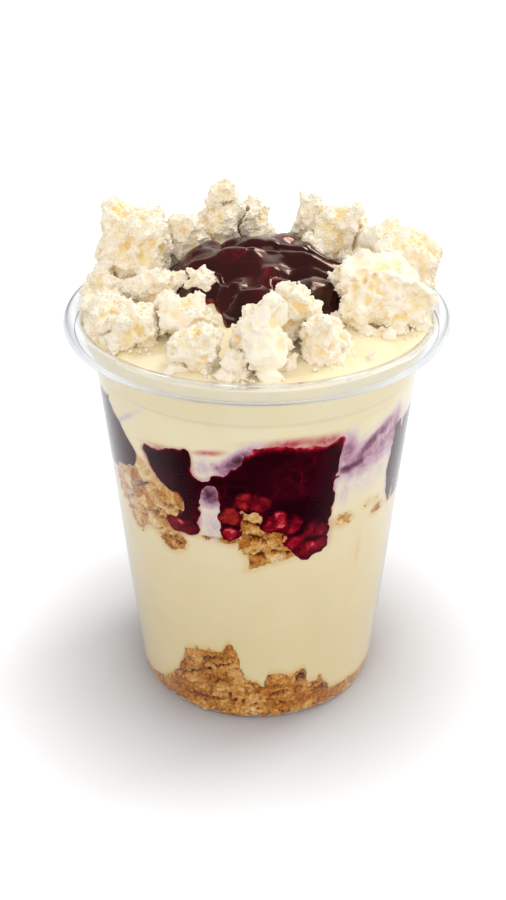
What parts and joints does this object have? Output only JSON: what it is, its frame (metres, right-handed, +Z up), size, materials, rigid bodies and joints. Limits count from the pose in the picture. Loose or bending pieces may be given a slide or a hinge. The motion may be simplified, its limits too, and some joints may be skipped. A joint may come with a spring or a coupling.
{
  "type": "layered dessert cup",
  "caption": "Clear take-away cup filled to the rim with layers of biscuit crumbs, cream and dark berry compote, topped with a compote pool and broken meringue.",
  "frame": {"origin": "middle of the foot ring, on the surface that the cup stands on", "axes": "+Z up along the cup's axis, -Y towards the side with the compote drips, +X to that side's right"},
  "size_m": [0.098, 0.098, 0.131],
  "materials": {
    "clear_cup": "clear thermoformed plastic, glossy",
    "biscuit_crumb": "baked crumb, matte, stands in for food",
    "cream": "smooth set cream, soft satin, stands in for food",
    "berry_compote": "wet glossy fruit compote, stands in for food",
    "meringue": "broken porous meringue, matte, stands in for food"
  },
  "bodies": {
    "root": {"cup": "clear_cup", "crumb_base": "biscuit_crumb", "crumb_middle": "biscuit_crumb", "cream_lower": "cream", "cream_upper": "cream", "compote_layer": "berry_compote", "compote_top": "berry_compote", "meringue_01": "meringue", "meringue_02": "meringue", "meringue_03": "meringue", "meringue_04": "meringue", "meringue_05": "meringue", "meringue_06": "meringue", "meringue_07": "meringue", "meringue_08": "meringue", "meringue_09": "meringue", "meringue_10": "meringue", "meringue_11": "meringue", "meringue_12": "meringue", "meringue_13": "meringue", "meringue_14": "meringue", "meringue_15": "meringue", "meringue_16": "meringue", "meringue_17": "meringue", "meringue_18": "meringue", "meringue_19": "meringue", "meringue_20": "meringue", "meringue_21": "meringue", "meringue_22": "meringue", "meringue_23": "meringue", "meringue_24": "meringue", "meringue_25": "meringue", "meringue_26": "meringue"}
  },
  "joints": []
}
